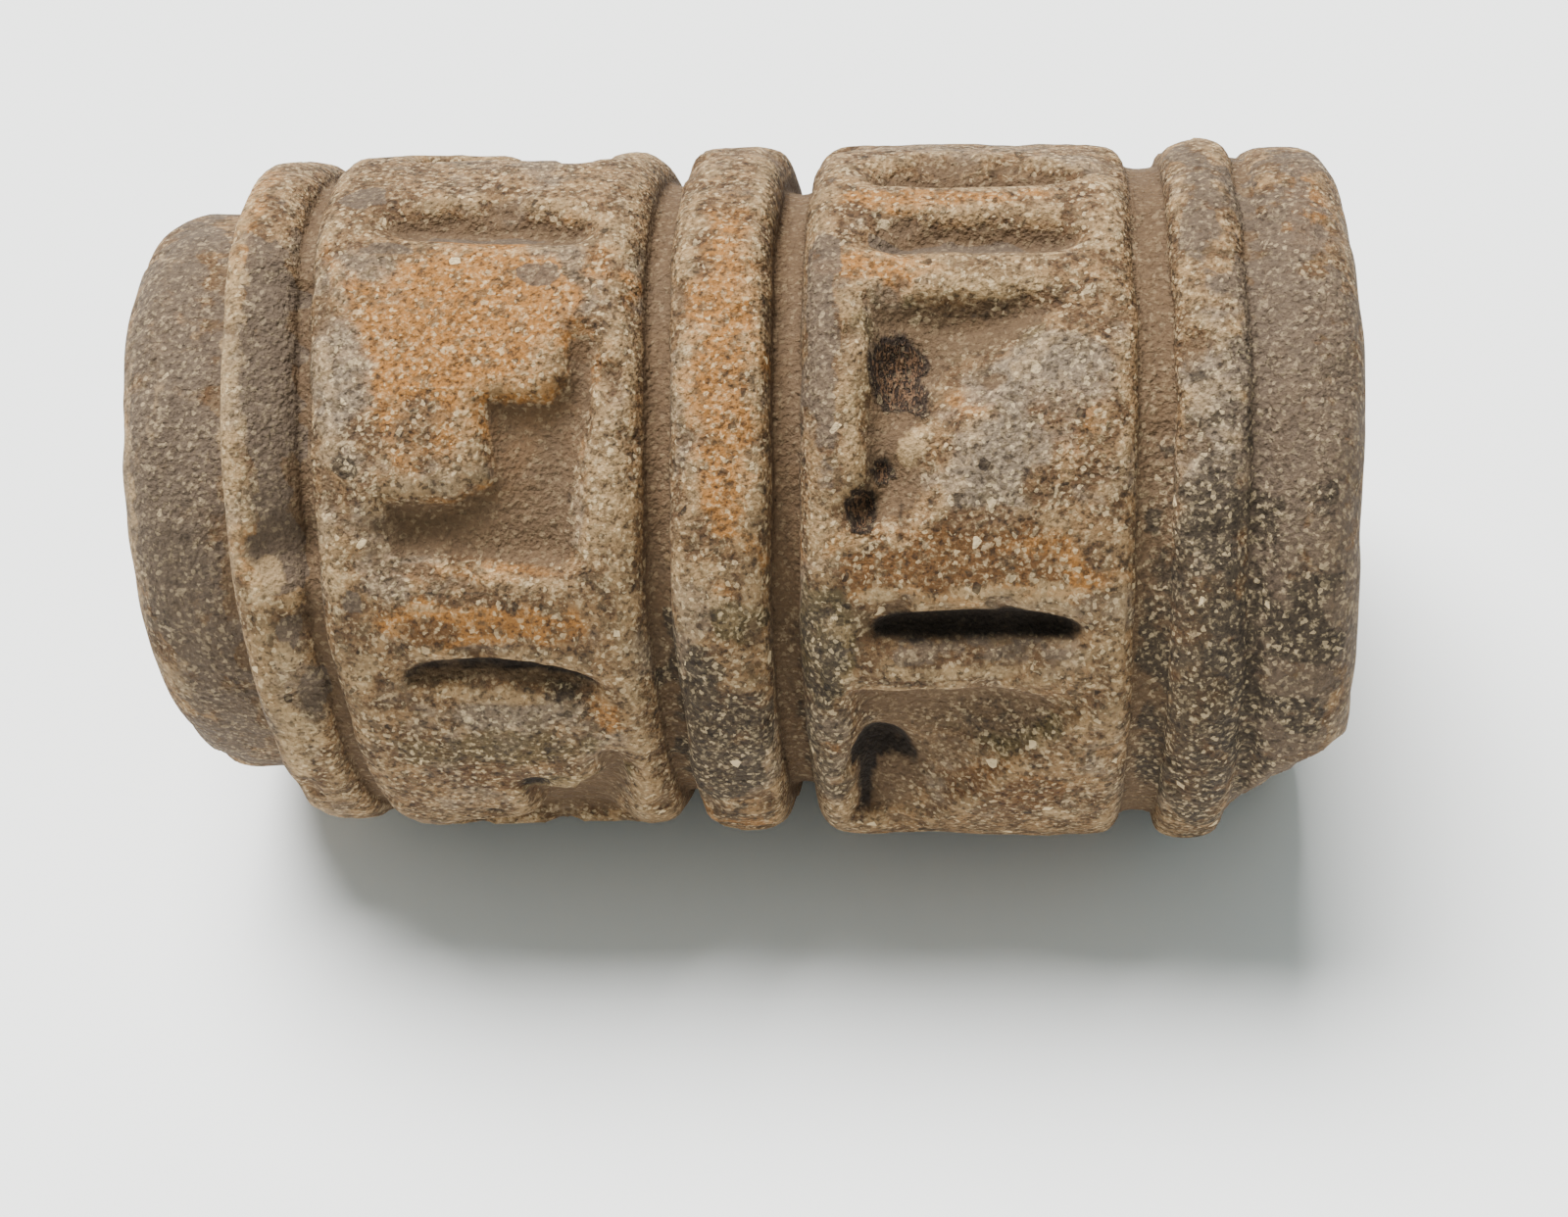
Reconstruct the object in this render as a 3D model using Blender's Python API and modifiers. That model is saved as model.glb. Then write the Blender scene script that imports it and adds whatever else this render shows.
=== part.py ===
"""Roller stamp: a fired clay cylinder with rings and two carved panels, lying on its side.

The roller is one piece of clay.  It is turned about the X axis from a profile of bands and
grooves, leant a little where the maker's grooves lean, and then carved: slots and stepped
recesses in the left panel, slots and three-cornered recesses in the right one.  A chip is
broken off the right end, and a small flat underneath keeps it from rolling.

Angles are in degrees about the axis, from the top towards the front, which is -Y.
"""

import math

import bmesh
import bpy
from mathutils import Vector, noise

MM = 0.001

# Widths along the axis, from the left end to the right end, in millimetres
LEFT_DOME = 0.7
COLLAR_WIDTH = 7.8
LEFT_RING_WIDTH = 4.6
GROOVE_1_WIDTH = 0.9
LEFT_PANEL_WIDTH = 19.9
GROOVE_2_WIDTH = 1.4
MIDDLE_RING_WIDTH = 6.1
GROOVE_3_WIDTH = 1.6
RIGHT_PANEL_WIDTH = 19.7
GROOVE_4_WIDTH = 2.1
RIGHT_RING_WIDTH = 4.4
GROOVE_5_WIDTH = 0.9
END_BAND_WIDTH = 5.9
RIGHT_DOME = 0.6

# The widest ring's radius, and how far each other band and groove lies below it
WIDEST_RADIUS = 22.7
COLLAR_DROP = 4.1
LEFT_RING_DROP = 0.7
LEFT_PANEL_DROP = 0.5
MIDDLE_RING_DROP = 0.3
RIGHT_PANEL_DROP = 0.2
END_BAND_DROP = 0.5
GROOVE_1_DROP = 2.2
GROOVE_2_DROP = 2.9
GROOVE_3_DROP = 3.3
GROOVE_4_DROP = 1.7
GROOVE_5_DROP = 1.5

# Rounding of the bands' shoulders and of the two ends, and the fall of the ends' domes
SHOULDER = 1.7
LEFT_RIM_DROP = 4.0
LEFT_ROUNDING = 3.4
RIGHT_RIM_DROP = 4.0
RIGHT_ROUNDING = 2.6
DOME_SHARE = 0.6
DOME_FALL = 0.15
TURN_STEPS = 60

# The grooves lean on the left half: how far they run along the axis for each millimetre
# across it, where the lean is full and where it has faded out
LEAN_SLOPE = 0.07
LEAN_DIRECTION = -45.0
LEAN_FULL_AT = -24.0
LEAN_GONE_AT = 6.0

# Left panel: where each motif starts, and the slot and stepped recess in it
LEFT_STARTS = (-1.0, 73.5, 141.0, 207.0, 273.5)
LEFT_MARGIN = 4.2
LEFT_BORDER = 2.7
LEFT_SLOT_ANGLE = 8.6
LEFT_SLOT_DEPTH = 1.8
LEFT_SLOT_LENGTH = 13.6
FRET_DEPTH = 1.7
FRET_TOP = 18.4
FRET_FIRST_STEP = 30.6
FRET_SECOND_STEP = 47.0
FRET_BOTTOM = 58.2
FRET_STEM = 2.2
FRET_DRIFT = 1.4
FRET_SHELF = 7.4
FRET_SLANT = 2.0
FRET_FALL = 2.0

# Right panel: the same for its slots and three-cornered recesses
RIGHT_STARTS = (1.2, 65.5, 133.0, 200.0, 267.0)
SPARE_SLOT = -16.2
RIGHT_MARGIN = 3.6
RIGHT_BORDER = 2.4
RIGHT_SLOT_ANGLE = 7.8
RIGHT_SLOT_DEPTH = 1.7
RIGHT_SLOT_LENGTH = 14.8
WEDGE_DEPTH = 2.1
WEDGE_SHALLOW_DEPTH = 0.5
WEDGE_TOP = 12.4
WEDGE_HEEL = 16.0
WEDGE_TIP = 49.5
WEDGE_TIP_WIDTH = 3.4

# A broken pit in the first wedge and a curved hollow round a boss in the others
PIT_HALF_WIDTH = 1.9
PIT_HALF_LENGTH = 3.0
PIT_DEPTH = 2.2
PIT_ANGLE = 24.5
PIT_FROM_WALL = 2.0
HOLLOW_RADIUS = 2.3
HOLLOW_TUBE = 1.15
HOLLOW_ANGLE = 32.0
HOLLOW_FROM_WALL = 2.2

# Chip broken off the right end: its face is a plane that dips towards the end
CHIP_ANGLE = 126.0
CHIP_DROP = 2.6
CHIP_SLOPE = 0.62
CHIP_SIZE = 30.0
CHIP_ROUGHNESS = 0.7
CHIP_WAVE = 0.35
CHIP_CUTS = 9

# Break along the left ring's right flank: its start, its angles and its depth
BREAK_LEFT = 1.9
BREAK_RIGHT = 5.0
BREAK_TOP = 12.0
BREAK_BOTTOM = 57.0
BREAK_DEPTH = 0.9

# Bites out of the same flank below the break: angle and half width of each
RING_BITES = ((54.0, 1.8), (66.0, 1.4), (80.0, 1.5))
BITE_STRETCH = 1.4
BITE_DEPTH = 1.0

# Flat underneath, measured from the widest ring inwards
FLAT_DEPTH = 0.8

# Fineness of the curved cutters
BALL_SEGMENTS = 12
BALL_RINGS = 8
HOLLOW_SIDES = 6
HOLLOW_STEPS = 14
STRIP_ANGLE = 9.0
SHARP_ANGLE = 35.0

# Worked out from the values above
LENGTH = (LEFT_DOME + COLLAR_WIDTH + LEFT_RING_WIDTH + GROOVE_1_WIDTH + LEFT_PANEL_WIDTH
          + GROOVE_2_WIDTH + MIDDLE_RING_WIDTH + GROOVE_3_WIDTH + RIGHT_PANEL_WIDTH
          + GROOVE_4_WIDTH + RIGHT_RING_WIDTH + GROOVE_5_WIDTH + END_BAND_WIDTH + RIGHT_DOME)
COLLAR_START = LEFT_DOME - LENGTH / 2
LEFT_RING_START = COLLAR_START + COLLAR_WIDTH
LEFT_PANEL_START = LEFT_RING_START + LEFT_RING_WIDTH + GROOVE_1_WIDTH
MIDDLE_RING_START = LEFT_PANEL_START + LEFT_PANEL_WIDTH + GROOVE_2_WIDTH
RIGHT_PANEL_START = MIDDLE_RING_START + MIDDLE_RING_WIDTH + GROOVE_3_WIDTH
RIGHT_RING_START = RIGHT_PANEL_START + RIGHT_PANEL_WIDTH + GROOVE_4_WIDTH
END_BAND_START = RIGHT_RING_START + RIGHT_RING_WIDTH + GROOVE_5_WIDTH
COLLAR_RADIUS = WIDEST_RADIUS - COLLAR_DROP
LEFT_RING_RADIUS = WIDEST_RADIUS - LEFT_RING_DROP
LEFT_PANEL_RADIUS = WIDEST_RADIUS - LEFT_PANEL_DROP
MIDDLE_RING_RADIUS = WIDEST_RADIUS - MIDDLE_RING_DROP
RIGHT_PANEL_RADIUS = WIDEST_RADIUS - RIGHT_PANEL_DROP
END_BAND_RADIUS = WIDEST_RADIUS - END_BAND_DROP
GROOVE_1_RADIUS = WIDEST_RADIUS - GROOVE_1_DROP
GROOVE_2_RADIUS = WIDEST_RADIUS - GROOVE_2_DROP
GROOVE_3_RADIUS = WIDEST_RADIUS - GROOVE_3_DROP
GROOVE_4_RADIUS = WIDEST_RADIUS - GROOVE_4_DROP
GROOVE_5_RADIUS = WIDEST_RADIUS - GROOVE_5_DROP
LEFT_RIM_RADIUS = COLLAR_RADIUS - LEFT_RIM_DROP
RIGHT_RIM_RADIUS = END_BAND_RADIUS - RIGHT_RIM_DROP
AXIS_HEIGHT = WIDEST_RADIUS - FLAT_DEPTH


def clear_scene():
    """Remove every object that the file opened with."""
    for item in list(bpy.data.objects):
        bpy.data.objects.remove(item, do_unlink=True)


def new_collection(name):
    """Return a new collection, linked to the scene."""
    collection = bpy.data.collections.new(name)
    bpy.context.scene.collection.children.link(collection)
    return collection


def clay_material():
    """Return the fired clay: ochre brown, quite rough, no metal."""
    material = bpy.data.materials.new("fired_clay")
    material.use_nodes = True
    shader = material.node_tree.nodes["Principled BSDF"]
    shader.inputs["Base Color"].default_value = (0.20, 0.125, 0.075, 1.0)
    shader.inputs["Roughness"].default_value = 0.9
    shader.inputs["Metallic"].default_value = 0.0
    return material


def shoulder(start, foot, crown, side):
    """Points of a quarter-ellipse shoulder that rises from a groove's floor to a crown.

    side is 1 for a band's left shoulder, which rises with x, and -1 for its right one.
    """
    points = []
    for turn in (0.0, 45.0, 90.0):
        across = SHOULDER * (1.0 - math.cos(math.radians(turn)))
        up = (crown - foot) * math.sin(math.radians(turn))
        points.append((start + side * across, foot + up))
    return points if side > 0 else points[::-1]


def band(start, width, left_foot, crown, right_foot):
    """Points of one raised band, from its left foot to its right foot."""
    return (shoulder(start, left_foot, crown, 1)
            + shoulder(start + width, right_foot, crown, -1))


def profile_points():
    """Points (x, radius) of the turned outline, from the left end's middle to the right's."""
    half = LENGTH / 2
    points = [(-half, 0.0), (-half + DOME_FALL * LEFT_DOME, DOME_SHARE * LEFT_RIM_RADIUS),
              (COLLAR_START, LEFT_RIM_RADIUS)]
    for turn in (45.0, 90.0):
        across = LEFT_ROUNDING * (1.0 - math.cos(math.radians(turn)))
        up = (COLLAR_RADIUS - LEFT_RIM_RADIUS) * math.sin(math.radians(turn))
        points.append((COLLAR_START + across, LEFT_RIM_RADIUS + up))
    points += band(LEFT_RING_START, LEFT_RING_WIDTH, COLLAR_RADIUS, LEFT_RING_RADIUS,
                   GROOVE_1_RADIUS)
    points += band(LEFT_PANEL_START, LEFT_PANEL_WIDTH, GROOVE_1_RADIUS, LEFT_PANEL_RADIUS,
                   GROOVE_2_RADIUS)
    points += band(MIDDLE_RING_START, MIDDLE_RING_WIDTH, GROOVE_2_RADIUS, MIDDLE_RING_RADIUS,
                   GROOVE_3_RADIUS)
    points += band(RIGHT_PANEL_START, RIGHT_PANEL_WIDTH, GROOVE_3_RADIUS, RIGHT_PANEL_RADIUS,
                   GROOVE_4_RADIUS)
    points += band(RIGHT_RING_START, RIGHT_RING_WIDTH, GROOVE_4_RADIUS, WIDEST_RADIUS,
                   GROOVE_5_RADIUS)
    points += shoulder(END_BAND_START, GROOVE_5_RADIUS, END_BAND_RADIUS, 1)
    for turn in (90.0, 60.0, 30.0, 0.0):
        across = RIGHT_ROUNDING * (1.0 - math.cos(math.radians(turn)))
        up = (END_BAND_RADIUS - RIGHT_RIM_RADIUS) * math.sin(math.radians(turn))
        points.append((half - RIGHT_DOME - across, RIGHT_RIM_RADIUS + up))
    points += [(half - DOME_FALL * RIGHT_DOME, DOME_SHARE * RIGHT_RIM_RADIUS), (half, 0.0)]
    return points


def around(x, radius, angle):
    """Return the point, in metres, at a place along the axis, a radius and an angle."""
    turn = math.radians(angle)
    return Vector((x, -radius * math.sin(turn), radius * math.cos(turn))) * MM


def lean(point):
    """Return a point, measured from the axis, moved along it as the grooves lean."""
    turn = math.radians(LEAN_DIRECTION)
    across = -point.y * math.sin(turn) + point.z * math.cos(turn)
    share = (LEAN_GONE_AT * MM - point.x) / ((LEAN_GONE_AT - LEAN_FULL_AT) * MM)
    slope = LEAN_SLOPE * min(max(share, 0.0), 1.0)
    return Vector((point.x - slope * across, point.y, point.z + AXIS_HEIGHT * MM))


def make_object(bm, name, collection):
    """Turn a closed bmesh's faces outwards and make it an object in a collection."""
    bmesh.ops.recalc_face_normals(bm, faces=bm.faces)
    if bm.calc_volume(signed=True) < 0.0:
        bmesh.ops.reverse_faces(bm, faces=bm.faces)
    mesh = bpy.data.meshes.new(name)
    bm.to_mesh(mesh)
    bm.free()
    item = bpy.data.objects.new(name, mesh)
    collection.objects.link(item)
    return item


def put_in_place(bm, name, collection):
    """Lean a bmesh, lift it to the axis's height and make it an object."""
    for vertex in bm.verts:
        vertex.co = lean(vertex.co)
    return make_object(bm, name, collection)


def turned_body(collection):
    """Turn the profile about the X axis with a Screw modifier, and lean the result."""
    points = [around(x, radius, 0.0) for x, radius in profile_points()]
    mesh = bpy.data.meshes.new("profile")
    mesh.from_pydata(points, [(i, i + 1) for i in range(len(points) - 1)], [])
    outline = bpy.data.objects.new("profile", mesh)
    collection.objects.link(outline)
    screw = outline.modifiers.new("turn", 'SCREW')
    screw.axis = 'X'
    screw.angle = math.tau
    screw.steps = TURN_STEPS
    screw.render_steps = TURN_STEPS
    screw.use_merge_vertices = True
    screw.merge_threshold = 0.01 * MM
    evaluated = outline.evaluated_get(bpy.context.evaluated_depsgraph_get())
    turned = bpy.data.meshes.new_from_object(evaluated)
    bpy.data.objects.remove(outline, do_unlink=True)
    bm = bmesh.new()
    bm.from_mesh(turned)
    bpy.data.meshes.remove(turned)
    return put_in_place(bm, "roller_stamp", collection)


def ball_cutter(name, collection, x, radius, angle, half_sizes):
    """A ball stretched to half sizes along the axis, around it and outwards from it."""
    bm = bmesh.new()
    bmesh.ops.create_uvsphere(bm, u_segments=BALL_SEGMENTS, v_segments=BALL_RINGS, radius=1.0)
    length, width, depth = half_sizes
    for vertex in bm.verts:
        local = vertex.co
        around_by = math.degrees(local.y * width / radius)
        vertex.co = around(x + local.x * length, radius + local.z * depth, angle - around_by)
    return put_in_place(bm, name, collection)


def wrapped_cutter(name, collection, outline, start, radius):
    """A block with a flat outline of (x, angle, depth) corners, bent round the axis.

    It reaches from each corner's depth below the radius to the greatest depth above it.
    """
    bm = bmesh.new()
    corners = [bm.verts.new(corner) for corner in outline]
    bm.faces.new(corners)
    low = min(angle for _, angle, _ in outline)
    high = max(angle for _, angle, _ in outline)
    top = -max(depth for _, _, depth in outline)
    pieces = max(2, round((high - low) / STRIP_ANGLE))
    for step in range(1, pieces):
        cut = (0.0, low + (high - low) * step / pieces, 0.0)
        geometry = bm.verts[:] + bm.edges[:] + bm.faces[:]
        bmesh.ops.bisect_plane(bm, geom=geometry, plane_co=cut, plane_no=(0.0, 1.0, 0.0))
    bmesh.ops.triangulate(bm, faces=bm.faces)
    lifted = bmesh.ops.extrude_face_region(bm, geom=bm.faces[:])
    for item in lifted["geom"]:
        if isinstance(item, bmesh.types.BMVert):
            item.co.z = top
    for vertex in bm.verts:
        vertex.co = around(vertex.co.x, radius - vertex.co.z, start + vertex.co.y)
    return put_in_place(bm, name, collection)


def fret_outline():
    """Corners of the left panel's stepped recess, from its stem downwards."""
    right = LEFT_PANEL_START + LEFT_PANEL_WIDTH - LEFT_BORDER
    left = LEFT_PANEL_START + LEFT_MARGIN
    shelf = right - FRET_SHELF
    places = [(right - FRET_STEM, FRET_TOP), (right, FRET_TOP),
              (right - FRET_DRIFT, FRET_BOTTOM), (left, FRET_BOTTOM - FRET_FALL),
              (left, FRET_SECOND_STEP), (shelf - FRET_SLANT, FRET_SECOND_STEP),
              (shelf, FRET_FIRST_STEP), (right - FRET_STEM, FRET_FIRST_STEP)]
    return [(x, angle, FRET_DEPTH) for x, angle in places]


def wedge_outline():
    """Corners of the right panel's three-cornered recess, shallow along its slant."""
    left = RIGHT_PANEL_START + RIGHT_MARGIN
    right = RIGHT_PANEL_START + RIGHT_PANEL_WIDTH - RIGHT_BORDER
    return [(left, WEDGE_TOP, WEDGE_DEPTH), (right, WEDGE_TOP, WEDGE_DEPTH),
            (right, WEDGE_HEEL, WEDGE_SHALLOW_DEPTH),
            (left + WEDGE_TIP_WIDTH, WEDGE_TIP, WEDGE_SHALLOW_DEPTH),
            (left, WEDGE_TIP, WEDGE_DEPTH)]


def carve_left_panel(collection):
    """Cutters for the left panel: a slot, then a stepped recess, for each motif."""
    left = LEFT_PANEL_START + LEFT_MARGIN
    right = LEFT_PANEL_START + LEFT_PANEL_WIDTH - LEFT_BORDER
    half_width = math.radians(LEFT_SLOT_ANGLE / 2) * LEFT_PANEL_RADIUS
    for index, start in enumerate(LEFT_STARTS):
        ball_cutter(f"left_slot_{index}", collection, (left + right) / 2, LEFT_PANEL_RADIUS,
                    start, (LEFT_SLOT_LENGTH / 2, half_width, LEFT_SLOT_DEPTH))
        wrapped_cutter(f"left_fret_{index}", collection, fret_outline(), start,
                       LEFT_PANEL_RADIUS)


def hollow_cutter(name, collection, x, radius, angle):
    """A ring-shaped cutter that leaves a boss standing in the middle of its hollow."""
    bm = bmesh.new()
    bmesh.ops.create_circle(bm, segments=HOLLOW_SIDES, radius=HOLLOW_TUBE)
    for vertex in bm.verts:
        vertex.co = Vector((vertex.co.x + HOLLOW_RADIUS, 0.0, vertex.co.y))
    bmesh.ops.spin(bm, geom=bm.verts[:] + bm.edges[:], cent=(0, 0, 0), axis=(0, 0, 1),
                   angle=math.tau, steps=HOLLOW_STEPS, use_merge=True)
    bmesh.ops.remove_doubles(bm, verts=bm.verts, dist=MM)
    for vertex in bm.verts:
        local = vertex.co
        around_by = math.degrees(local.y / radius)
        vertex.co = around(x + local.x, radius + local.z, angle - around_by)
    return put_in_place(bm, name, collection)


def carve_right_panel(collection):
    """Cutters for the right panel: slots, three-cornered recesses and what is in them."""
    left = RIGHT_PANEL_START + RIGHT_MARGIN
    right = RIGHT_PANEL_START + RIGHT_PANEL_WIDTH - RIGHT_BORDER
    half_width = math.radians(RIGHT_SLOT_ANGLE / 2) * RIGHT_PANEL_RADIUS
    floor = RIGHT_PANEL_RADIUS - WEDGE_DEPTH
    for index, start in enumerate((SPARE_SLOT,) + RIGHT_STARTS):
        ball_cutter(f"right_slot_{index}", collection, (left + right) / 2, RIGHT_PANEL_RADIUS,
                    start, (RIGHT_SLOT_LENGTH / 2, half_width, RIGHT_SLOT_DEPTH))
    for index, start in enumerate(RIGHT_STARTS):
        wrapped_cutter(f"right_wedge_{index}", collection, wedge_outline(), start,
                       RIGHT_PANEL_RADIUS)
        if index == 0:
            ball_cutter("pit", collection, left + PIT_FROM_WALL, floor, start + PIT_ANGLE,
                        (PIT_HALF_WIDTH, PIT_HALF_LENGTH, PIT_DEPTH))
        else:
            hollow_cutter(f"hollow_{index}", collection, left + HOLLOW_FROM_WALL, floor,
                          start + HOLLOW_ANGLE)


def chip_cutter(collection):
    """A rough-faced block that breaks the lower front edge of the right end away."""
    bm = bmesh.new()
    bmesh.ops.create_grid(bm, x_segments=CHIP_CUTS, y_segments=CHIP_CUTS, size=CHIP_SIZE / 2)
    for vertex in bm.verts:
        vertex.co.z = CHIP_ROUGHNESS * noise.noise(vertex.co * CHIP_WAVE)
    raised = bmesh.ops.extrude_face_region(bm, geom=bm.faces[:])
    for item in raised["geom"]:
        if isinstance(item, bmesh.types.BMVert):
            item.co.z = CHIP_SIZE / 2
    turn = math.radians(CHIP_ANGLE)
    out = Vector((0.0, -math.sin(turn), math.cos(turn)))
    side = Vector((0.0, math.cos(turn), math.sin(turn)))
    face = Vector((END_BAND_START, 0.0, 0.0)) + out * (WIDEST_RADIUS - CHIP_DROP)
    along = (Vector((1.0, 0.0, 0.0)) - out * CHIP_SLOPE).normalized()
    up = along.cross(side)
    if up.dot(out) < 0.0:
        up.negate()
    shift = CHIP_SIZE / 2 - GROOVE_5_WIDTH
    for vertex in bm.verts:
        local = vertex.co.copy()
        place = along * (local.x + shift) + side * local.y + up * local.z
        vertex.co = (face + place) * MM
    return put_in_place(bm, "chip", collection)


def break_left_ring(collection):
    """Cutters for the break along the left ring's right flank and the bites below it."""
    left = LEFT_RING_START + BREAK_LEFT
    right = LEFT_RING_START + BREAK_RIGHT
    outline = [(left, BREAK_TOP, BREAK_DEPTH), (right, BREAK_TOP, BREAK_DEPTH),
               (right, BREAK_BOTTOM, BREAK_DEPTH), (left, BREAK_BOTTOM, BREAK_DEPTH)]
    wrapped_cutter("ring_break", collection, outline, 0.0, LEFT_RING_RADIUS)
    edge = LEFT_RING_START + LEFT_RING_WIDTH - SHOULDER / 2
    for index, (angle, size) in enumerate(RING_BITES):
        ball_cutter(f"ring_bite_{index}", collection, edge, LEFT_RING_RADIUS, angle,
                    (size, BITE_STRETCH * size, BITE_DEPTH))


def flat_cutter(collection):
    """A block below the ground plane that leaves the roller a flat to lie on."""
    bm = bmesh.new()
    bmesh.ops.create_cube(bm, size=2.0)
    for vertex in bm.verts:
        vertex.co = Vector((vertex.co.x * LENGTH, vertex.co.y * WIDEST_RADIUS,
                            (vertex.co.z - 1.0) * WIDEST_RADIUS)) * MM
    return make_object(bm, "flat", collection)


def main():
    """Build the roller stamp."""
    clear_scene()
    parts = new_collection("roller_stamp")
    cutters = new_collection("cutters")
    body = turned_body(parts)
    body.data.materials.append(clay_material())
    carve_left_panel(cutters)
    carve_right_panel(cutters)
    break_left_ring(cutters)
    chip_cutter(cutters)
    flat_cutter(cutters)
    for cutter in cutters.objects:
        cutter.hide_render = True
        cutter.display_type = 'WIRE'
    carve = body.modifiers.new("carving", 'BOOLEAN')
    carve.operation = 'DIFFERENCE'
    carve.operand_type = 'COLLECTION'
    carve.collection = cutters
    carve.solver = 'EXACT'
    body.data.shade_smooth()
    body.data.set_sharp_from_angle(angle=math.radians(SHARP_ANGLE))


main()
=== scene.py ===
"""Looks of a carved roller stamp of fired clay, lying on its side on a pale floor.

The stamp is one piece of clay, so it is one surface: a radius and a place along the axis
for every point of a grid that runs from the middle of the left end, over the bands, grooves
and carved panels, to the middle of the right end, and once round the axis.

Lengths inside the classes are millimetres, measured from the roller's middle and its axis.
Turns are degrees round the axis, from the top towards the front, which is -Y.
"""

import logging
import math
from dataclasses import dataclass, field, fields
from enum import Enum

import bpy
import numpy as np
from mathutils import Matrix, Vector


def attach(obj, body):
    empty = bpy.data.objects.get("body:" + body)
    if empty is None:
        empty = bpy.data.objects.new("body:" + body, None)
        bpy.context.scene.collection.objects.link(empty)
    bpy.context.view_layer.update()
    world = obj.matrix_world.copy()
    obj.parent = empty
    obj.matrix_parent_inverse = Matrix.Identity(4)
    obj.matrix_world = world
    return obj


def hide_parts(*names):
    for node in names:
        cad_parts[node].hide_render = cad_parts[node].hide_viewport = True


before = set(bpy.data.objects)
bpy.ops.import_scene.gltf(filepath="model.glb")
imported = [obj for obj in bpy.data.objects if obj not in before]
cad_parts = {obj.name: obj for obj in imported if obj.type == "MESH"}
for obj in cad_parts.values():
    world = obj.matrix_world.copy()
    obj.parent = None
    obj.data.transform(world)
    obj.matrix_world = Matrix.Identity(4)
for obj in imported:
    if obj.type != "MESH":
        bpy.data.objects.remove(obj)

LOG = logging.getLogger("roller_stamp")
MM = 0.001
NODE = "roller_stamp"
BODY = "root"
PHOTO_WIDTH = 1600
SENSOR_MM = 36.0
Grid = np.ndarray
Corners = list[tuple[float, float]]
Pairs = tuple[tuple[float, float], ...]


def ramp(value: Grid, low: float, high: float) -> Grid:
    """Rise smoothly from 0 at low to 1 at high, level at both ends; high may be the lower."""
    share = np.clip((value - low) / (high - low), 0.0, 1.0)
    return share * share * (3.0 - 2.0 * share)


def turn_gap(turn: Grid, centre: float) -> Grid:
    """Return how far each turn is past a centre turn, in degrees from -180 to 180."""
    return (turn - centre + 180.0) % 360.0 - 180.0


def linear_colour(code: str) -> tuple[float, float, float, float]:
    """Turn an sRGB hex colour into the linear colour that a shader takes.

    Args:
        code: A colour such as "#a68a6a".

    Returns:
        Red, green, blue and alpha, linear, from 0 to 1.
    """
    parts = [int(code[i:i + 2], 16) / 255.0 for i in (1, 3, 5)]
    bent = [p / 12.92 if p <= 0.04045 else ((p + 0.055) / 1.055) ** 2.4 for p in parts]
    return (bent[0], bent[1], bent[2], 1.0)


class Layer(Enum):
    """Layers of unevenness: how far the noise is shifted, its width and its strength."""

    SWAY = (0.0, 9.0, 0.35)
    JITTER = (50.0, 2.6, 0.12)
    WANDER = (90.0, 2.6, 0.38)
    RAGGED = (140.0, 1.8, 1.0)
    WEAR = (30.0, 3.0, 0.5)
    CHIPS = (260.0, 3.4, 1.0)
    SWELLS = (11.0, 11.0, 0.22)
    LUMPS = (23.0, 4.5, 0.16)
    PIMPLES = (37.0, 2.0, 0.11)


@dataclass(frozen=True)
class ClayNoise:
    """Smooth noise that is fixed in space, for the unevenness of hand-worked clay."""

    seed: int = 7
    octaves: int = 3

    def _corner(self, cell: Grid) -> Grid:
        """Mix the bits of each corner's three whole numbers.

        Args:
            cell: Corners of cells, with x, y and z last.

        Returns:
            A fixed number from -1 to 1 for each corner.
        """
        mixed = (cell[..., 0] * 374761393 + cell[..., 1] * 668265263
                 + cell[..., 2] * 2147483647 + self.seed * 974634777)
        mixed = (mixed ^ (mixed >> 13)) * 1274126177
        mixed = mixed ^ (mixed >> 16)
        return (mixed & 0xFFFF) / 32767.5 - 1.0

    def value(self, points: Grid, size: float) -> Grid:
        """Blend the corner numbers of the cell that each point lies in.

        Args:
            points: Points in millimetres, with x, y and z last.
            size: Width of a cell, in millimetres.

        Returns:
            Numbers from -1 to 1, one for each point.
        """
        place = points / size
        cell = np.floor(place).astype(np.int64)
        share = ramp(place - cell, 0.0, 1.0)
        total = np.zeros(points.shape[:-1])
        for corner in np.ndindex(2, 2, 2):
            weight = np.ones(points.shape[:-1])
            for axis, step in enumerate(corner):
                weight = weight * (share[..., axis] if step else 1.0 - share[..., axis])
            total += weight * self._corner(cell + np.array(corner))
        return total

    def plain(self, points: Grid, layer: Layer) -> Grid:
        """Return one layer of noise at points in millimetres, times its strength."""
        shift, size, strength = layer.value
        return strength * self.value(points + shift, size)

    def fractal(self, points: Grid, layer: Layer) -> Grid:
        """Add ever finer noise, each time half as wide and half as strong.

        Args:
            points: Points in millimetres.
            layer: The layer, which gives the coarsest width.

        Returns:
            Numbers up to about the layer's strength, either side of zero.
        """
        shift, size, most = layer.value
        points = points + shift
        total = np.zeros(points.shape[:-1])
        strength = 1.0
        whole = 0.0
        for octave in range(self.octaves):
            shift = 17.3 * octave + 3.1 * self.seed
            total += strength * self.value(points + shift, size / 2 ** octave)
            whole += strength
            strength *= 0.5
        return most * (total / whole * 1.4)


def quarter(foot: tuple[float, float], across: float, up: float, count: int = 9) -> Corners:
    """Return a quarter ellipse that climbs steeply from a foot; left if across is negative."""
    return [(foot[0] + across * (1.0 - math.cos(step)), foot[1] + up * math.sin(step))
            for step in np.linspace(0.0, math.pi / 2, count)]


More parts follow.
